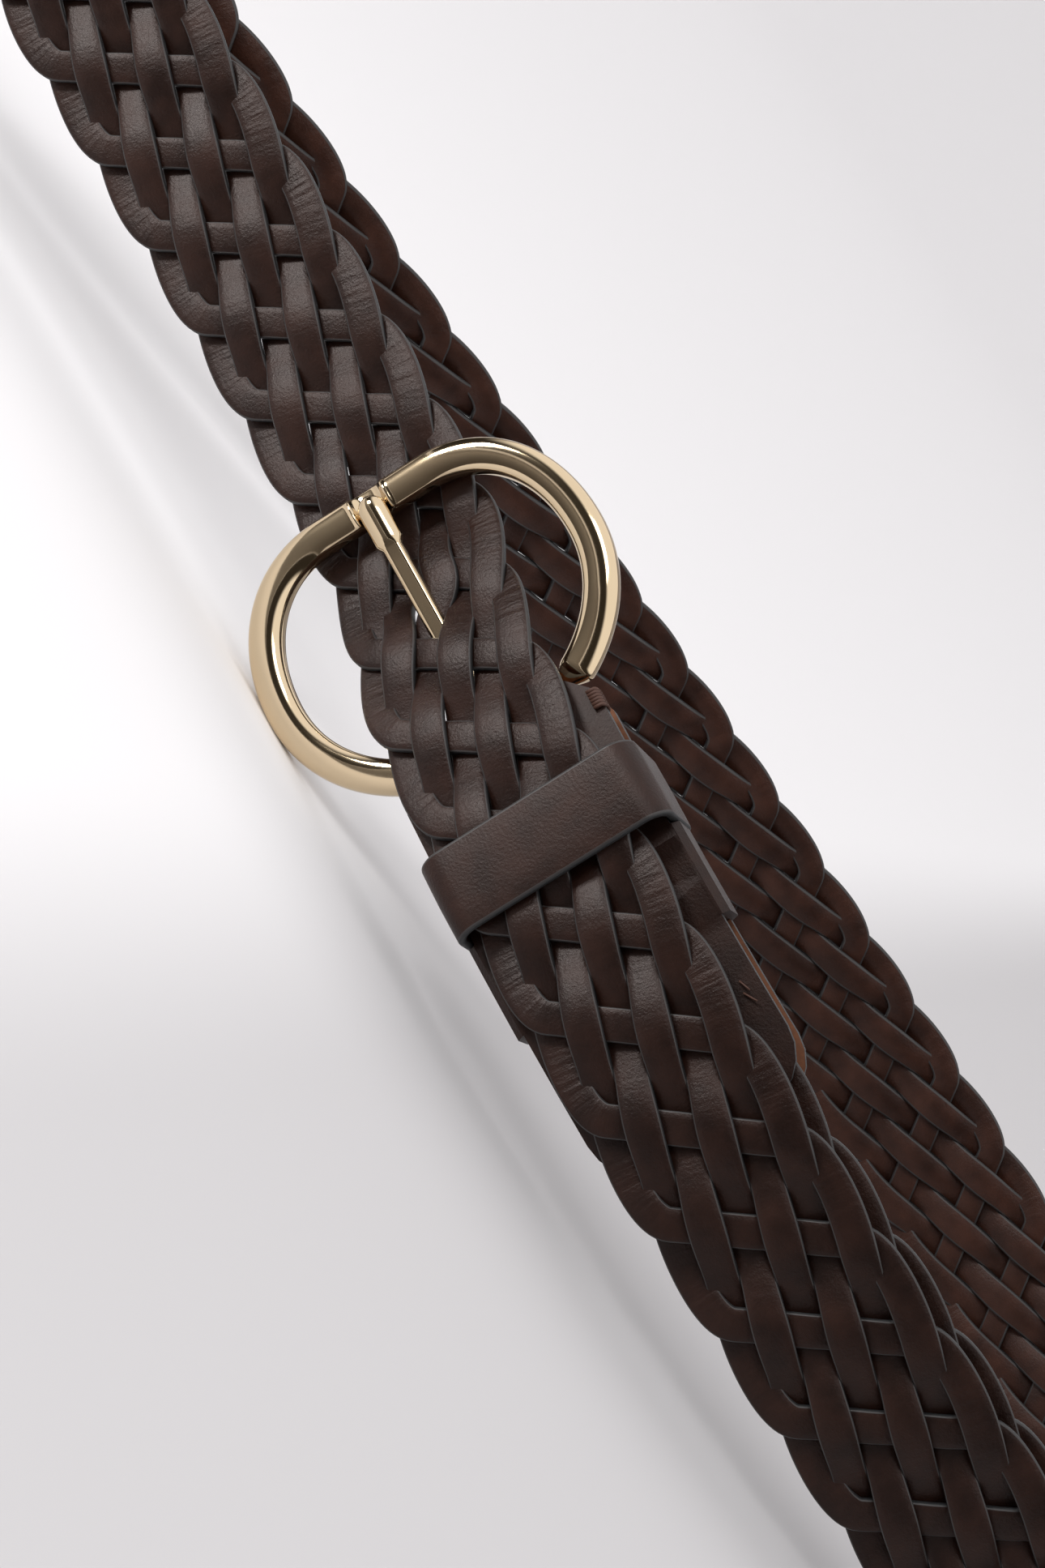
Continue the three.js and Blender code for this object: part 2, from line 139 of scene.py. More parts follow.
def strapOut(distance):
    past = np.asarray(distance, float) - belt["loopLength"]
    tabEnd = tab["length"] + tab["innerExtra"]
    tipStart = belt["freeLength"] - tipCover["length"]
    rise = overTab * ease(past, buckle["band"] / 2 - buckle["reach"], -foldOuter)
    fall = (overStrap - overTab) * ease(past, tabEnd, tabEnd + belt["tabFall"])
    lift = (overTip - overStrap) * ease(past, tipStart - belt["tipRise"], tipStart)
    return rise + fall + lift


def strapUp(distance):
    past = np.asarray(distance, float) - belt["loopLength"]
    driftEnd = belt["loopLength"] - buckle["reach"] - braid["pitch"]
    drift = belt["driftLeft"] * ease(distance, tab["length"], driftEnd)
    return drift + (belt["driftOver"] - belt["driftLeft"]) * ease(past, -buckle["reach"], 0)


def unit(vectors):
    return vectors / np.linalg.norm(vectors, axis=-1, keepdims=True)


print("belt course traced")


# Finishes

def newMaterial(name):
    material = bpy.data.materials.new(name)
    material.use_nodes = True
    nodes = material.node_tree.nodes
    links = material.node_tree.links
    return material, nodes, links, nodes["Principled BSDF"]


leatherLook = {
    "dark": (0.0100, 0.0037, 0.0023),
    "light": (0.0230, 0.0086, 0.0053),
    "grainScale": 2000,
    "wearScale": 160,
    "grainDepth": 0.00012,
    "creaseDepth": 0.0003,
    "specular": 0.27,
    "sheen": (1, 0.9, 0.87, 1),
}


def leatherMaterial(name, tone=1.0, roughness=(0.29, 0.44), creased=True):
    material, nodes, links, shader = newMaterial(name)
    coords = nodes.new("ShaderNodeTexCoord")
    wear = nodes.new("ShaderNodeTexNoise")
    wear.inputs["Scale"].default_value = leatherLook["wearScale"]
    wear.inputs["Detail"].default_value = 5
    links.new(coords.outputs["Object"], wear.inputs["Vector"])
    colour = nodes.new("ShaderNodeValToRGB")
    colour.color_ramp.elements[0].position = 0.35
    colour.color_ramp.elements[1].position = 0.72
    colour.color_ramp.elements[0].color = [c * tone for c in leatherLook["dark"]] + [1]
    colour.color_ramp.elements[1].color = [c * tone for c in leatherLook["light"]] + [1]
    links.new(wear.outputs["Fac"], colour.inputs["Fac"])
    links.new(colour.outputs["Color"], shader.inputs["Base Color"])
    gloss = nodes.new("ShaderNodeMapRange")
    gloss.inputs["To Min"].default_value = roughness[0]
    gloss.inputs["To Max"].default_value = roughness[1]
    links.new(wear.outputs["Fac"], gloss.inputs["Value"])
    links.new(gloss.outputs["Result"], shader.inputs["Roughness"])
    grain = nodes.new("ShaderNodeTexNoise")
    grain.inputs["Scale"].default_value = leatherLook["grainScale"]
    grain.inputs["Detail"].default_value = 4
    grain.inputs["Roughness"].default_value = 0.65
    links.new(coords.outputs["Object"], grain.inputs["Vector"])
    grainBump = nodes.new("ShaderNodeBump")
    grainBump.inputs["Distance"].default_value = leatherLook["grainDepth"]
    grainBump.inputs["Strength"].default_value = 0.8
    links.new(grain.outputs["Fac"], grainBump.inputs["Height"])
    if creased:
        stretch = nodes.new("ShaderNodeMapping")
        stretch.inputs["Scale"].default_value = (620, 95, 1)
        links.new(coords.outputs["UV"], stretch.inputs["Vector"])
        creases = nodes.new("ShaderNodeTexNoise")
        creases.inputs["Scale"].default_value = 1
        creases.inputs["Detail"].default_value = 4
        links.new(stretch.outputs["Vector"], creases.inputs["Vector"])
        amount = nodes.new("ShaderNodeAttribute")
        amount.attribute_name = "crease"
        depth = nodes.new("ShaderNodeMath")
        depth.operation = "MULTIPLY"
        links.new(creases.outputs["Fac"], depth.inputs[0])
        links.new(amount.outputs["Fac"], depth.inputs[1])
        creaseBump = nodes.new("ShaderNodeBump")
        creaseBump.inputs["Distance"].default_value = leatherLook["creaseDepth"]
        links.new(depth.outputs["Value"], creaseBump.inputs["Height"])
        links.new(grainBump.outputs["Normal"], creaseBump.inputs["Normal"])
        links.new(creaseBump.outputs["Normal"], shader.inputs["Normal"])
    else:
        links.new(grainBump.outputs["Normal"], shader.inputs["Normal"])
    shader.inputs["Specular IOR Level"].default_value = leatherLook["specular"]
    shader.inputs["Specular Tint"].default_value = leatherLook["sheen"]
    return material


def plainMaterial(name, colour, roughness, metallic=0.0, mottleScale=700, mottle=0.12):
    material, nodes, links, shader = newMaterial(name)
    coords = nodes.new("ShaderNodeTexCoord")
    noise = nodes.new("ShaderNodeTexNoise")
    noise.inputs["Scale"].default_value = mottleScale
    noise.inputs["Detail"].default_value = 3
    links.new(coords.outputs["Object"], noise.inputs["Vector"])
    ramp = nodes.new("ShaderNodeValToRGB")
    ramp.color_ramp.elements[0].color = [c * (1 - mottle) for c in colour] + [1]
    ramp.color_ramp.elements[1].color = [min(1, c * (1 + mottle)) for c in colour] + [1]
    links.new(noise.outputs["Fac"], ramp.inputs["Fac"])
    links.new(ramp.outputs["Color"], shader.inputs["Base Color"])
    gloss = nodes.new("ShaderNodeMapRange")
    gloss.inputs["To Min"].default_value = roughness * 0.85
    gloss.inputs["To Max"].default_value = roughness * 1.15
    links.new(noise.outputs["Fac"], gloss.inputs["Value"])
    links.new(gloss.outputs["Result"], shader.inputs["Roughness"])
    shader.inputs["Metallic"].default_value = metallic
    return material


strandLeather = leatherMaterial("strand leather")
# Painted light: the strands' inner side is the same leather with its tone raised 2.2 times. This is partly
# because that side is a little lighter, and partly to stand in for light on the back run, which shows its
# inner side in the shade behind the front run.
innerSideLeatherWithPaintedLight = leatherMaterial("strand leather inner side with painted light", tone=2.2, roughness=(0.3, 0.42))
smoothLeather = leatherMaterial("keeper leather", tone=1.1, roughness=(0.34, 0.46), creased=False)
tabLeather = leatherMaterial("tab leather", tone=0.9, roughness=(0.36, 0.5), creased=False)
paintedEdge = plainMaterial("painted edge", (0.022, 0.023, 0.024), 0.55)
edgeLine = plainMaterial("edge line", (0.026, 0.022, 0.021), 0.45)
suede = plainMaterial("raw suede", (0.145, 0.055, 0.024), 0.9, mottleScale=1400, mottle=0.45)
thread = plainMaterial("brown thread", (0.060, 0.022, 0.012), 0.7, mottle=0.3)
paleGold = plainMaterial("pale gold", (0.66, 0.525, 0.35), 0.08, metallic=1.0, mottleScale=90, mottle=0.03)
print("finishes made")


# Meshes from rings of points

def makeObject(name, parts, materials, replacedNode=None):
    vertices, faces, slots, uvs, creases = [], [], [], [], []
    start = 0
    for part in parts:
        rings, edgeSlots = part["rings"], part["slots"]
        count, around = rings.shape[:2]
        vertices.append(rings.reshape(-1, 3))
        uvs.append(part["uv"].reshape(-1, 2) if "uv" in part else np.zeros((count * around, 2)))
        creases.append(np.repeat(part["crease"], around) if "crease" in part else np.zeros(count * around))
        steps = count if part.get("closed") else count - 1
        i, k = np.meshgrid(np.arange(steps), np.arange(around), indexing="ij")
        nextI, nextK = (i + 1) % count, (k + 1) % around
        quads = np.stack([i * around + k, i * around + nextK, nextI * around + nextK, nextI * around + k], -1)
        faces += (quads.reshape(-1, 4) + start).tolist()
        slots += np.broadcast_to(np.asarray(edgeSlots), (steps, around)).reshape(-1).tolist()
        if not part.get("closed"):
            faces.append((start + np.arange(around))[::-1].tolist())
            faces.append((start + (count - 1) * around + np.arange(around)).tolist())
            slots += [part.get("capSlot", 0)] * 2
        start += count * around
    vertices = np.concatenate(vertices)
    vertices[:, 2] = np.maximum(vertices[:, 2], 0)  # leather is pressed flat where it rests
    mesh = bpy.data.meshes.new(name)
    mesh.from_pydata(vertices.tolist(), [], faces)
    for material in materials:
        mesh.materials.append(material)
    mesh.polygons.foreach_set("material_index", slots)
    mesh.polygons.foreach_set("use_smooth", [True] * len(faces))
    loopVertex = np.zeros(len(mesh.loops), int)
    mesh.loops.foreach_get("vertex_index", loopVertex)
    mesh.uv_layers.new(name="UVMap").data.foreach_set("uv", np.concatenate(uvs)[loopVertex].reshape(-1))
    mesh.attributes.new("crease", "FLOAT", "POINT").data.foreach_set("value", np.concatenate(creases))
    mesh.update()
    turnOutwards(mesh)
    obj = bpy.data.objects.new(name, mesh)
    bpy.context.scene.collection.objects.link(obj)
    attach(obj, "root")
    if replacedNode:
        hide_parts(replacedNode)
    return obj


def turnOutwards(mesh):
    build = bmesh.new()
    build.from_mesh(mesh)
    bmesh.ops.recalc_face_normals(build, faces=build.faces)
    build.to_mesh(mesh)
    build.free()


# Braid: seven flat strands in plain weave, turned back at both edges

braid = {
    "pitch": 18.1,
    "strands": 7,
    "columns": 6,
    "columnGap": 4.656,
    "slant": 0.1867,  # of a pitch, from one column to the next
    "phase": 0.6,
    "strandWidth": 5.45,
    "strandThickness": 1.5,
    "steepWave": 1.6,
    "shallowWave": 0.2,
    "crestWidening": 0.1,
    "turnHandles": (3.6, 8.0),
    "start": 9,
    "notchPhase": 0.25,
    "tongueHole": {"distance": 1008, "up": 0, "push": 2.6, "along": 6, "across": 5, "blend": 1.2},
}
braidEnd = belt["loopLength"] + belt["freeLength"] - tipCover["length"] + tipCover["overlap"]
notchShare = (belt["loopLength"] / braid["pitch"] - braid["notchPhase"]) % 1
columnMiddle = (braid["columns"] + 1) / 2


def crossing(column, row):  # place in the belt's flat: distance along it, and height from its middle
    along = (row + notchShare + braid["slant"] * (column - 1)) * braid["pitch"] + braid["phase"]
    return np.array([along, (column - columnMiddle) * braid["columnGap"]])


def straightRun(fromColumn, fromRow, toColumn, toRow, samples, height):
    t = np.linspace(0, 1, samples, endpoint=False)
    a, b = crossing(fromColumn, fromRow), crossing(toColumn, toRow)
    flat = a + (b - a) * t[:, None]
    out = height * np.cos(np.pi * (t * (braid["columns"] - 1)))
    crease = 0.25 + 0 * t
    return np.column_stack([flat, out, crease])


def edgeTurn(column, row, wayIn, wayOut, handles, outFrom, outTo, samples):
    t = np.linspace(0, 1, samples, endpoint=False)[:, None]
    a, d = crossing(column, row), crossing(column, row + 1)
    b, c = a + wayIn * handles[0], d - wayOut * handles[1]
    flat = (1 - t) ** 3 * a + 3 * (1 - t) ** 2 * t * b + 3 * (1 - t) * t ** 2 * c + t ** 3 * d
    out = outFrom + (outTo - outFrom) * ease(t[:, 0], 0.05, 0.95)
    crease = 0.25 + 0.75 * np.sin(np.pi * t[:, 0])
    return np.column_stack([flat, out, crease])


def strandCourse(firstRow):
    last = braid["columns"]
    shallowWay = unit(crossing(last, 0) - crossing(1, 0))
    steepWay = unit(crossing(1, last - 1) - crossing(last, 0))
    shallow, steep = braid["shallowWave"], braid["steepWave"]
    near, far = braid["turnHandles"]
    runs = []
    row = firstRow
    while crossing(1, row)[0] < braidEnd:
        runs.append(straightRun(1, row, last, row, 24, shallow))
        runs.append(edgeTurn(last, row, shallowWay, steepWay, (near, far), -shallow, steep, 20))
        runs.append(straightRun(last, row + 1, 1, row + last, 66, steep))
        runs.append(edgeTurn(1, row + last, steepWay, shallowWay, (far, near), -steep, shallow, 20))
        row += braid["strands"]
    course = np.concatenate(runs)
    return course[(course[:, 0] > braid["start"]) & (course[:, 0] < braidEnd)]


def clearTongue(along, up):  # strands part round the tongue
    hole = braid["tongueHole"]
    aside = up - hole["up"]
    near = np.exp(-((along - hole["distance"]) / hole["along"]) ** 2 - (aside / hole["across"]) ** 2)
    return up + np.tanh(aside / hole["blend"]) * hole["push"] * near


def strandRings(course):
    along, up, out, crease = course.T
    up = clearTongue(along, up + strapUp(along))
    centre = place(along, strapOut(along) + out, up)
    outwards = unit(place(along, 1, up) - place(along, 0, up))
    onwards = unit(np.gradient(centre, axis=0))
    across = unit(np.cross(outwards, onwards))
    front = unit(np.cross(onwards, across))
    crest = np.abs(out[:, None] / braid["steepWave"]) ** 1.5
    half = braid["strandWidth"] / 2 * (1 + braid["crestWidening"] * crest)  # wider at the arches
    thick = braid["strandThickness"] / 2
    section = [  # share of half the width, share of half the thickness
        (-0.92, 0.88), (-0.55, 1.02), (0, 1.07), (0.55, 1.02), (0.92, 0.88), (1, 0.68),
        (1, -0.62), (0.86, -0.92), (0, -1), (-0.86, -0.92), (-1, -0.62), (-1, 0.68),
    ]
    rings = np.stack([centre + across * a * half + front * f * thick for a, f in section], 1)
    length = np.concatenate([[0], np.cumsum(np.linalg.norm(np.diff(centre, axis=0), axis=1))])
    uv = np.stack([np.stack([length, a * half[:, 0]], -1) / 1000 for a, f in section], 1)
    # Slot 3 is the strands' inner side, which takes the brightened leather with painted light.
    slots = [0, 0, 0, 0, 2, 1, 2, 3, 3, 2, 1, 2]
    return {"rings": toScene(rings), "slots": slots, "uv": uv, "crease": crease, "capSlot": 1}


def firstRowOf(strand):
    return strand - 2 * braid["strands"]


strandGroups = {
    "braid_strands_1_to_3": (0, 1, 2),
    "braid_strands_4_and_5": (3, 4),
    "braid_strands_6_and_7": (5, 6),
}
strandFinishes = [strandLeather, paintedEdge, edgeLine, innerSideLeatherWithPaintedLight]
for groupName, members in strandGroups.items():
    parts = [strandRings(strandCourse(firstRowOf(strand))) for strand in members]
    makeObject(groupName, parts, strandFinishes, "braided_strap")
print("strands woven")


# Buckle frame: one band with two shoulders, and the pivot bar between them

frameShape = {
    "fullness": {
        "flatBar": 0.62, "aboveWidest": 0.55, "belowWidest": 0.52, "shoulderReach": 0.2, "rise": 0.5,
    },
    "cornering": 0.74,
    "notchHalf": 3.1,
    "notchDepth": 1.8,
    "lip": 0.15,
    "lipPlace": 1.1,  # both as shares of notchHalf
    "lipSpread": 0.13,
    "neckLength": 3.4,
}


def bezier(points, samples):
    t = np.linspace(0, 1, samples)[:, None]
    a, b, c, d = [np.array(p, float) for p in points]
    return (1 - t) ** 3 * a + 3 * (1 - t) ** 2 * t * b + 3 * (1 - t) * t ** 2 * c + t ** 3 * d


def frameLine():
    full = frameShape["fullness"]
    reach, wideReach = buckle["reach"], buckle["widestReach"]
    widest = (buckle["width"] - buckle["band"]) / 2
    flat = buckle["flatLength"] / 2
    shoulder = tab["foldWidth"] / 2 + buckle["band"] / 2 + belt["layerGap"]
    side = (-wideReach, widest)
    bar = np.column_stack([np.full(60, -reach), np.linspace(0, flat, 60)])
    upper = bezier([(-reach, flat), (-reach, flat + full["flatBar"] * (widest - flat)),
                    (-wideReach - full["aboveWidest"] * (reach - wideReach), widest), side], 60)
    lower = bezier([side, (-full["belowWidest"] * wideReach, widest),
                    (-full["shoulderReach"] * wideReach, shoulder + full["rise"] * (widest - shoulder)),
                    (-buckle["pivotDiameter"] / 4, shoulder)], 50)
    half = np.concatenate([bar, upper[1:], lower[1:]])
    return np.concatenate([(half * [1, -1])[:0:-1], half])


def frameRings():
    line = frameLine()
    along = unit(np.gradient(line, axis=0))
    normal = np.column_stack([along[:, 1], -along[:, 0]])
    sides = 40
    angles = 2 * np.pi * (np.arange(sides) + 0.5) / sides
    across = np.sign(np.cos(angles)) * np.abs(np.cos(angles)) ** frameShape["cornering"]
    front = np.sign(np.sin(angles)) * np.abs(np.sin(angles)) ** frameShape["cornering"]
    wide = across * buckle["band"] / 2
    ending = ease(line[:, :1], -buckle["widestReach"] / 2, 0)  # flatter where it ends in the folded tab
    x = line[:, :1] + normal[:, :1] * wide
    z = line[:, 1:] + normal[:, 1:] * wide
    y = front * (buckle["depth"] + (buckle["endDepth"] - buckle["depth"]) * ending) / 2
    onBar = line[:, 0] < -buckle["reach"] + 0.01
    beside = np.abs(z) / frameShape["notchHalf"]
    dip = frameShape["notchDepth"] * np.clip(1 - beside ** 4, 0, 1)
    lip = frameShape["lip"] * np.exp(-((beside - frameShape["lipPlace"]) / frameShape["lipSpread"]) ** 2)
    facing = np.clip(-y / (buckle["depth"] / 2), 0, 1)
    y += np.where(onBar[:, None], (dip - lip) * facing, 0)
    rings = np.stack([x, y, z], -1)
    return closeEnds(rings)


def closeEnds(rings):  # the band narrows to the pivot bar at both ends
    slim = buckle["pivotDiameter"] / buckle["band"]
    length = frameShape["neckLength"]
    necks = []
    for ring, before in ((rings[0], rings[1]), (rings[-1], rings[-2])):
        middle = ring.mean(0)
        way = unit(middle - before.mean(0))
        barEnd = np.array([0, 0, middle[2] - math.copysign(length, middle[2])])
        handles = [middle + way * length / 3, barEnd + (middle - barEnd) * [0, 0, 0.3]]
        path = bezier([middle, *handles, barEnd], 8)[1:]
        shares = 1 - (1 - slim) * ease(np.linspace(0, 1, 8)[1:], 0, 1)
        necks.append([centre + (ring - middle) * share for centre, share in zip(path, shares)])
    return np.concatenate([np.array(necks[0][::-1]), rings, np.array(necks[1])])


def tube(centres, radii, sides=32):
    centres = np.asarray(centres, float)
    onwards = unit(np.gradient(centres, axis=0))
    aside = unit(np.cross(onwards, [0.3, 1, 0.2]))
    upwards = np.cross(onwards, aside)
    angles = 2 * np.pi * np.arange(sides) / sides
    radii = np.broadcast_to(radii, len(centres))[:, None]
    return np.stack([centres + (aside * math.cos(a) + upwards * math.sin(a)) * radii for a in angles], 1)


shoulderHeight = tab["foldWidth"] / 2
barPoints = np.column_stack([np.zeros(3), np.zeros(3), np.linspace(-shoulderHeight, shoulderHeight, 3)])
makeObject(
    "buckle_frame_band",
    [{"rings": toScene(frameRings()), "slots": [0]},
     {"rings": toScene(tube(barPoints, buckle["pivotDiameter"] / 2)), "slots": [0]}],
    [paleGold], "buckle_frame",
)
print("buckle frame made")


# Tongue: an eye round the pivot bar, and a shank that gets a flat face half way

tongue = {
    "width": 5.1,
    "neckWidth": 3.6,
    "thickness": 3.4,
    "neckThickness": 2.9,
    "overhang": 0.9,
    "eyeWall": 1.2,
    "eyeClearance": 0.3,
    "facetReach": 36.3,
}


def tongueRings():
    restOut = buckle["depth"] / 2 - frameShape["notchDepth"] + tongue["thickness"] / 2
    tip = buckle["reach"] + tongue["overhang"]
    start = buckle["pivotDiameter"] / 2 + tongue["eyeClearance"] + 0.2
    roundEnd = tongue["width"] / 2
    reaches = np.concatenate([
        np.linspace(start, tongue["facetReach"], 12), tongue["facetReach"] + np.array([0.4, 0.8, 1.3]),
        np.linspace(tongue["facetReach"] + 2, tip - roundEnd, 8),
        tip - roundEnd * (1 - np.sin(np.radians([15, 30, 45, 58, 70, 80, 87]))),
    ])
    sides = 36
    angles = 2 * np.pi * (np.arange(sides) + 0.5) / sides
    rings = []
    for reach in reaches:
        into = max(0, reach - (tip - roundEnd)) / roundEnd
        taper = math.sqrt(max(0.0, 1 - into ** 2))
        neck = 1 - float(ease(reach, tongue["facetReach"], tongue["facetReach"] + 1.5))
        width = tongue["width"] + (tongue["neckWidth"] - tongue["width"]) * neck
        thickness = tongue["thickness"] + (tongue["neckThickness"] - tongue["thickness"]) * neck
        across = np.cos(angles) * width / 2 * taper
        front = np.sin(angles) * thickness / 2 * (0.25 + 0.75 * taper)
        front = np.where(front > 0, np.minimum(front, thickness / 2 * (1 - 0.25 * neck)), front)
        middle = restOut * reach / buckle["reach"]
        rings.append(np.column_stack([np.full(sides, -reach), -middle - front, across]))
    return np.array(rings)


def eyeRings():
    inner = buckle["pivotDiameter"] / 2 + tongue["eyeClearance"]
    radius = inner + tongue["eyeWall"] / 2
    turns = np.linspace(0, 2 * np.pi, 33)[:-1]
    half = tongue["width"] / 2
    wall = tongue["eyeWall"] / 2
    section = [(-1, 0.6), (-0.85, 1), (0.85, 1), (1, 0.6), (1, -0.6), (0.85, -1), (-0.85, -1), (-1, -0.6)]
    rings = []
    for turn in turns:
        way = np.array([math.cos(turn), math.sin(turn), 0])
        rings.append([way * (radius + r * wall) + np.array([0, 0, a * half]) for a, r in section])
    return np.array(rings)


makeObject(
    "tongue_shank",
    [{"rings": toScene(tongueRings()), "slots": [0]},
     {"rings": toScene(eyeRings()), "slots": [0], "closed": True}],
    [paleGold], "buckle_tongue",
)
print("tongue made")


# Keeper: a leather loop with painted edges

keeper = {"start": 19.2, "width": 13.9, "thickness": 1.4, "cornerRadius": 4.5}


def keeperRings():
    half = tab["width"] / 2 + belt["layerGap"]
    low = -foldOuter - belt["layerGap"]
    high = overTab + halfStrap + belt["layerGap"]
    frontRadius = keeper["cornerRadius"] - keeper["thickness"]
    backRadius = 2 * belt["layerGap"]
    corners = [(high, half, 0, frontRadius), (high, -half, 90, frontRadius),
               (low, -half, 180, backRadius), (low, half, 270, backRadius)]
    stations = []  # out, up, way out, way up
    for out, up, start, radius in corners:
        middleOut = out - math.copysign(radius, out)
        middleUp = up - math.copysign(radius, up)
        for angle in np.radians(start + np.linspace(0, 90, 13)):
            wayOut, wayUp = math.sin(angle), math.cos(angle)
            stations.append((middleOut + wayOut * radius, middleUp + wayUp * radius, wayOut, wayUp))
    filled = []
    for i, station in enumerate(stations):
        following = stations[(i + 1) % len(stations)]
        filled.append(station)
        gap = math.hypot(following[0] - station[0], following[1] - station[1])
        for t in np.linspace(0, 1, 1 + int(gap / 1.5), endpoint=False)[1:]:
            filled.append(tuple(a + (b - a) * t for a, b in zip(station, following)))
    return filled


def keeperBand():
    thick = keeper["thickness"]
    width = keeper["width"]
    section = [  # distance along the belt from the keeper's start, share of the thickness
        (0.0, 0.25), (0.0, 0.75), (0.18, 0.95), (0.5, 1), (width * 0.3, 1.04), (width * 0.5, 1.06),
        (width * 0.7, 1.04), (width - 0.5, 1), (width - 0.18, 0.95), (width, 0.75), (width, 0.25),
        (width - 0.2, 0), (width * 0.5, 0), (0.2, 0),
    ]
    rings = []
    for out, up, wayOut, wayUp in keeperRings():
        along = np.array([keeper["start"] + a for a, _ in section])
        reach = np.array([share * thick for _, share in section])
        rings.append(place(along, out + wayOut * reach, up + wayUp * reach))
    slots = [1, 1, 2, 0, 0, 0, 0, 2, 1, 1, 1, 0, 0, 1]
    return {"rings": toScene(np.array(rings)), "slots": slots, "closed": True}


keeperFinishes = [smoothLeather, paintedEdge, edgeLine]
makeObject("keeper_band", [keeperBand()], keeperFinishes, "keeper_loop")
print("keeper made")


# End tab and tip cover: the CAD forms with softened edges; the tab has leather outside and raw suede inside,
# the tip cover is leather all over

def softened(nodeName, name, materials, width, chooseSlot):
    build = bmesh.new()
    build.from_mesh(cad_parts[nodeName].data)
    bmesh.ops.remove_doubles(build, verts=build.verts, dist=1e-6)
    bmesh.ops.dissolve_limit(build, angle_limit=math.radians(0.4), verts=build.verts, edges=build.edges)
    sharp = [e for e in build.edges if len(e.link_faces) == 2 and e.calc_face_angle(0) > math.radians(50)]
    bmesh.ops.bevel(
        build, geom=sharp, offset=width, segments=2, profile=0.6, affect="EDGES", clamp_overlap=True,
    )
    bmesh.ops.recalc_face_normals(build, faces=build.faces)
    for face in build.faces:
        face.smooth = True
        face.material_index = chooseSlot(face.calc_center_median(), face.normal)
    for edge in build.edges:
        edge.smooth = edge.calc_face_angle(0) < math.radians(42)
    mesh = bpy.data.meshes.new(name)
    build.to_mesh(mesh)
    build.free()
    for material in materials:
        mesh.materials.append(material)
    obj = bpy.data.objects.new(name, mesh)
    bpy.context.scene.collection.objects.link(obj)
    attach(obj, "root")
    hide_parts(nodeName)
    return obj


courseMarks = np.arange(-12, 250, 0.5)


def outOf(centre):  # signed distance outwards from the lower strap's middle, and the way outwards
    local = tippingRows.T @ (np.array(centre) * 1000 - np.array(belt["pivotPlace"]))
    points = place(courseMarks, 0, 0)[:, :2]
    nearest = int(np.argmin(np.linalg.norm(points - local[:2], axis=1)))
    outwards = place(courseMarks[nearest], 1, 0)[:2] - points[nearest]
    return float(np.dot(local[:2] - points[nearest], outwards)), outwards


def tabSlot(centre, normal):
    out, outwards = outOf(centre)
    localNormal = tippingRows.T @ np.array(normal)
    facing = float(np.dot(localNormal[:2], outwards))
    if abs(out) < foldInner + 0.1 * tab["thickness"] and abs(facing) > 0.5:
        return 2
    if abs(facing) > 0.5 or abs(out) < foldInner:
        return 0
    return 1


def tipSlot(centre, normal):
    return 0


softened("end_tab", "tab_layers", [tabLeather, paintedEdge, suede], 0.00028, tabSlot)
softened("tip_cover", "tip_leather_cover", [tabLeather], 0.0003, tipSlot)
print("tab and tip cover made")


# Thick brown stitches over the tab's upper edge, and two loose thread ends below the keeper

stitches = {
    "distance": 8.3, "count": 6, "spacing": 0.62, "radius": 0.36, "lean": 0.5, "over": 0.45, "inset": 1.7,
    "turnInset": 0.3,
    "looseShare": 0.45,  # of the radius, for the loose ends
}
threadEnds = [  # distance, out and up of the start, then of the end
    ((60.5, 4.25, 15.6), (62.6, 4.9, 16.4)),
    ((62.4, 4.25, 15.2), (64.6, 4.7, 16.5)),
]


def stitchPath(number):
    edge = tab["width"] / 2
    start = stitches["distance"] + (number - (stitches["count"] - 1) / 2) * stitches["spacing"]
    over = stitches["over"]
    turn = np.linspace(-0.5 * np.pi, 0.5 * np.pi, 7)
    middleOut, halfOut = (foldInner + foldOuter) / 2, tab["thickness"] / 2 + over
    outs = np.concatenate([[middleOut + halfOut], middleOut - halfOut * np.sin(turn), [middleOut - halfOut]])
    ending = [edge - stitches["inset"]]
    ups = np.concatenate([ending, edge - stitches["turnInset"] + over * np.cos(turn), ending])
    return place(start + np.linspace(0, stitches["lean"], len(outs)), outs, ups)


threadParts = [{"rings": toScene(tube(stitchPath(i), stitches["radius"], 10)), "slots": [0]}
               for i in range(stitches["count"])]
for startPoint, endPoint in threadEnds:
    threadLine = np.array([place(*(np.array(startPoint) + (np.array(endPoint) - startPoint) * t))
                           for t in np.linspace(0, 1, 4)])
    looseRadius = stitches["radius"] * stitches["looseShare"]
    threadParts.append({"rings": toScene(tube(threadLine, looseRadius, 8)), "slots": [0]})
makeObject("tab_stitches", threadParts, [thread])
print("stitches made")


# Stage: a wide pale floor, a bright surround, soft lights and the camera

view = {
    "place": (0.25681, -0.71637, 0.15599),
    "elevation": 10.82,
    "heading": 22.89,
    "roll": 55.33,
    "lens": 93.66,
    "sensor": 36,
    "imageSize": (1290, 1935),
}


def addCamera():
    data = bpy.data.cameras.new("camera")
    data.lens = view["lens"]
    data.clip_start, data.clip_end = 0.02, 200
    obj = bpy.data.objects.new("camera", data)
    bpy.context.scene.collection.objects.link(obj)
    turn = (Matrix.Rotation(math.radians(view["heading"]), 4, "Z")
            @ Matrix.Rotation(math.radians(90 - view["elevation"]), 4, "X")
            @ Matrix.Rotation(math.radians(view["roll"]), 4, "Z"))
    obj.matrix_world = Matrix.Translation(view["place"]) @ turn
    bpy.context.scene.camera = obj
    return turn


cameraTurn = addCamera()

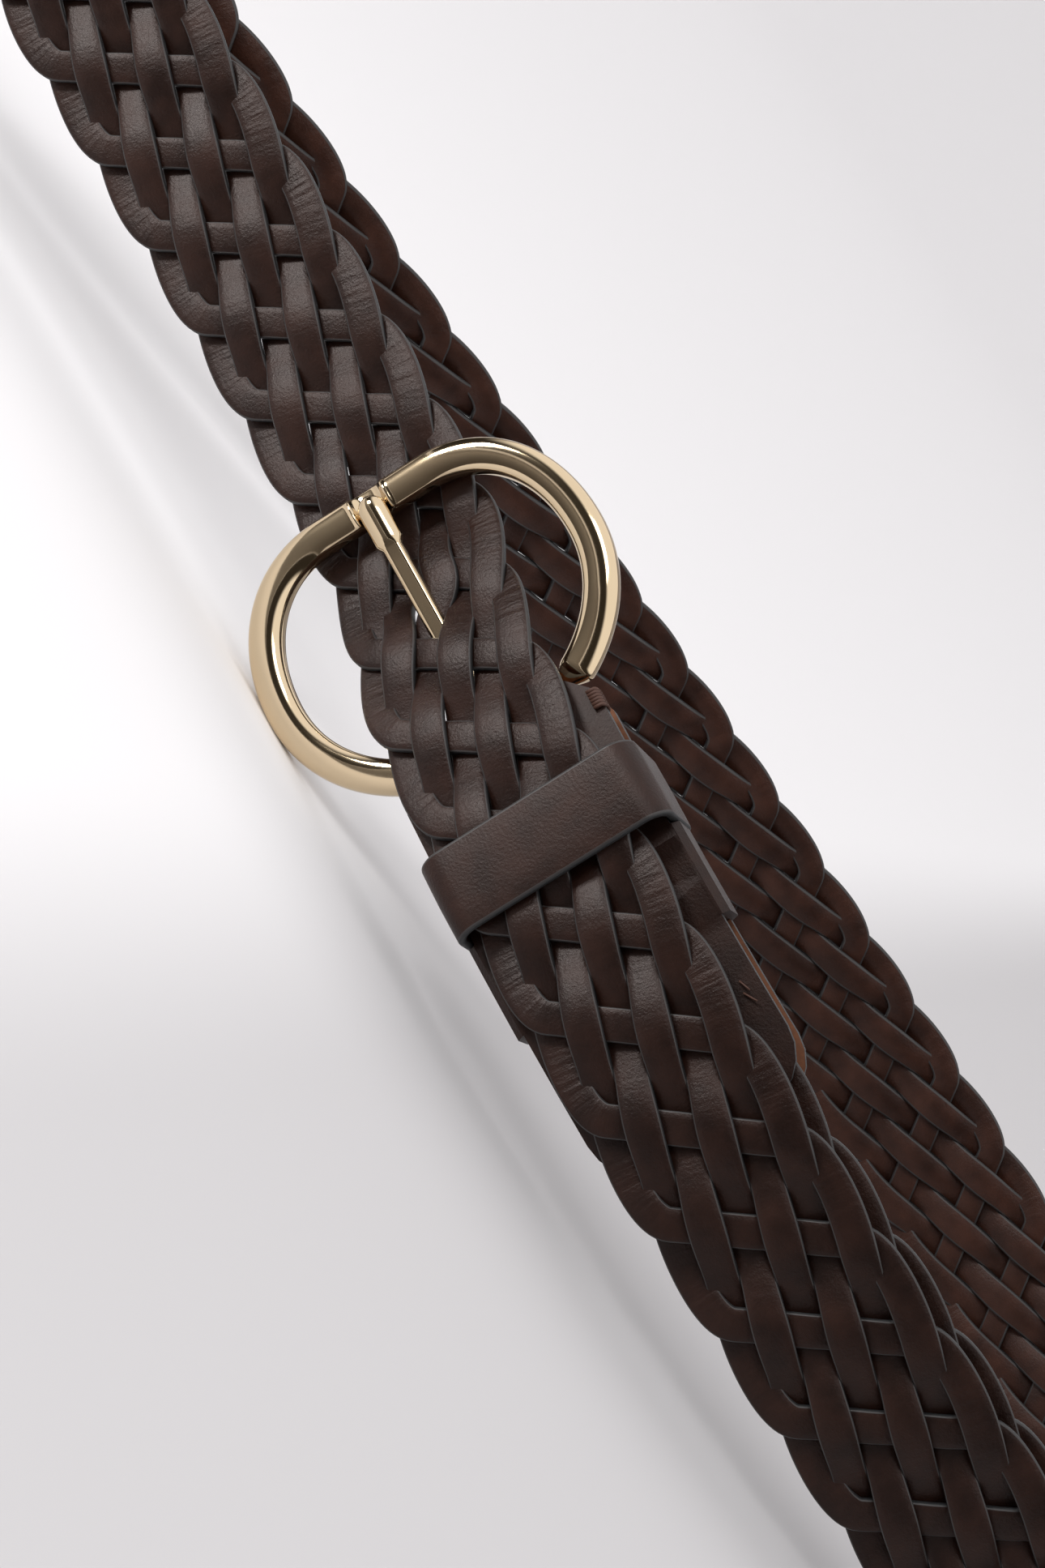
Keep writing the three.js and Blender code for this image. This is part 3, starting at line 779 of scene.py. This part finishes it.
floorLook = {
    "halfSize": 14,
    "riseStart": 3.5,  # behind the belt the ground curves up, so that no horizon shows
    "riseRadius": 2.5,
    "riseTop": 6,
    "light": (0.865, 0.852, 0.858),
    "shade": (0.605, 0.592, 0.598),
    "changeRow": 1130,  # the row of the photo where the ground's tone changes
    "changeSoftness": 0.03,
}


def onFloor(column, row):  # the floor's point seen at a pixel
    wide, high = view["imageSize"]
    scale = view["sensor"] / high / view["lens"]
    ray = cameraTurn @ Vector(((column - wide / 2) * scale, (high / 2 - row) * scale, -1))
    start = Vector(view["place"])
    return start + ray * (-start.z / ray.z)


def addFloor():
    mesh = bpy.data.meshes.new("floor")
    half, start, radius = floorLook["halfSize"], floorLook["riseStart"], floorLook["riseRadius"]
    bend = np.radians(np.arange(5, 91, 5))
    profile = [(-half, 0), (start, 0)]
    profile += [(start + radius * math.sin(a), radius * (1 - math.cos(a))) for a in bend]
    profile.append((start + radius, floorLook["riseTop"]))
    points = [(side * half, y, z) for y, z in profile for side in (-1, 1)]
    faces = [(2 * i, 2 * i + 1, 2 * i + 3, 2 * i + 2) for i in range(len(profile) - 1)]
    mesh.from_pydata(points, [], faces)
    mesh.polygons.foreach_set("use_smooth", [True] * len(faces))
    floor = bpy.data.objects.new("floor", mesh)
    bpy.context.scene.collection.objects.link(floor)
    a, b = onFloor(0, floorLook["changeRow"]), onFloor(view["imageSize"][0], floorLook["changeRow"])
    below = onFloor(view["imageSize"][0] / 2, view["imageSize"][1])
    along = (b - a).normalized()
    towards = (below - a) - along * (below - a).dot(along)
    towards.normalize()
    material, nodes, links, shader = newMaterial("floor")
    coords = nodes.new("ShaderNodeTexCoord")
    dot = nodes.new("ShaderNodeVectorMath")
    dot.operation = "DOT_PRODUCT"
    dot.inputs[1].default_value = towards
    links.new(coords.outputs["Object"], dot.inputs[0])
    blend = nodes.new("ShaderNodeMapRange")
    blend.interpolation_type = "SMOOTHSTEP"
    middle = a.dot(towards)
    blend.inputs["From Min"].default_value = middle - floorLook["changeSoftness"]
    blend.inputs["From Max"].default_value = middle + floorLook["changeSoftness"]
    links.new(dot.outputs["Value"], blend.inputs["Value"])
    ramp = nodes.new("ShaderNodeValToRGB")
    ramp.color_ramp.elements[0].color = (*floorLook["light"], 1)
    ramp.color_ramp.elements[1].color = (*floorLook["shade"], 1)
    links.new(blend.outputs["Result"], ramp.inputs["Fac"])
    links.new(ramp.outputs["Color"], shader.inputs["Base Color"])
    shader.inputs["Roughness"].default_value = 1.0
    shader.inputs["Specular IOR Level"].default_value = 0.0
    mesh.materials.append(material)


addFloor()
print("floor made")

darkCard = {"x": (-1.6, 1.2), "y": (-1.6, -0.2), "height": 0.002, "colour": (0.035, 0.026, 0.020)}


def addDarkCard():  # lies before the belt and shows only in reflections, which it darkens
    mesh = bpy.data.meshes.new("dark_card")
    points = [(x, y, darkCard["height"]) for x, y in zip(darkCard["x"] + darkCard["x"][::-1],
                                                         np.repeat(darkCard["y"], 2).tolist())]
    mesh.from_pydata(points, [], [(0, 1, 2, 3)])
    mesh.materials.append(plainMaterial("dark card", darkCard["colour"], 0.9, mottleScale=5))
    card = bpy.data.objects.new("dark_card", mesh)
    bpy.context.scene.collection.objects.link(card)
    card.visible_camera = False
    card.visible_diffuse = False
    card.visible_shadow = False


addDarkCard()

lights = {
    "key": {"place": (-0.77, -0.88, 0.14), "size": 0.22, "power": 7.5, "colour": (1, 0.99, 0.98)},
    "over": {"place": (-0.3, -1.0, 0.6), "size": 0.3, "power": 2.2, "colour": (1, 1, 1)},
}
lightAim = (0, -0.1, 0.03)
sky = {
    "bright": (0.98, 0.97, 0.98, 1),
    "dim": (0.03, 0.026, 0.022, 1),
    "rise": (0.28, 0.5),  # how high above the horizon it turns from dim to bright, as sines
    "strength": 1.22,
}


def addLight(name, values):
    data = bpy.data.lights.new(name, "AREA")
    data.shape = "SQUARE"
    data.size = values["size"]
    data.energy = values["power"]
    data.color = values["colour"]
    obj = bpy.data.objects.new(name, data)
    bpy.context.scene.collection.objects.link(obj)
    obj.location = values["place"]
    aim = Vector(lightAim) - Vector(values["place"])
    obj.rotation_mode = "QUATERNION"
    obj.rotation_quaternion = aim.to_track_quat("-Z", "Y")


for lightName, lightValues in lights.items():
    addLight(lightName, lightValues)


def addSky():  # bright overhead and dim near the horizon, so that the metal shows light and dark bands
    surround = bpy.data.worlds.new("surround")
    surround.use_nodes = True
    nodes, links = surround.node_tree.nodes, surround.node_tree.links
    coords = nodes.new("ShaderNodeTexCoord")
    parts = nodes.new("ShaderNodeSeparateXYZ")
    links.new(coords.outputs["Generated"], parts.inputs["Vector"])
    ramp = nodes.new("ShaderNodeValToRGB")
    ramp.color_ramp.interpolation = "EASE"
    for stop, where, colour in zip(ramp.color_ramp.elements, sky["rise"], (sky["dim"], sky["bright"])):
        stop.position = where
        stop.color = colour
    links.new(parts.outputs["Z"], ramp.inputs["Fac"])
    background = nodes["Background"]
    links.new(ramp.outputs["Color"], background.inputs["Color"])
    background.inputs["Strength"].default_value = sky["strength"]
    bpy.context.scene.world = surround


addSky()
bpy.context.scene.view_settings.view_transform = "Standard"
print("stage set")

bpy.context.view_layer.update()
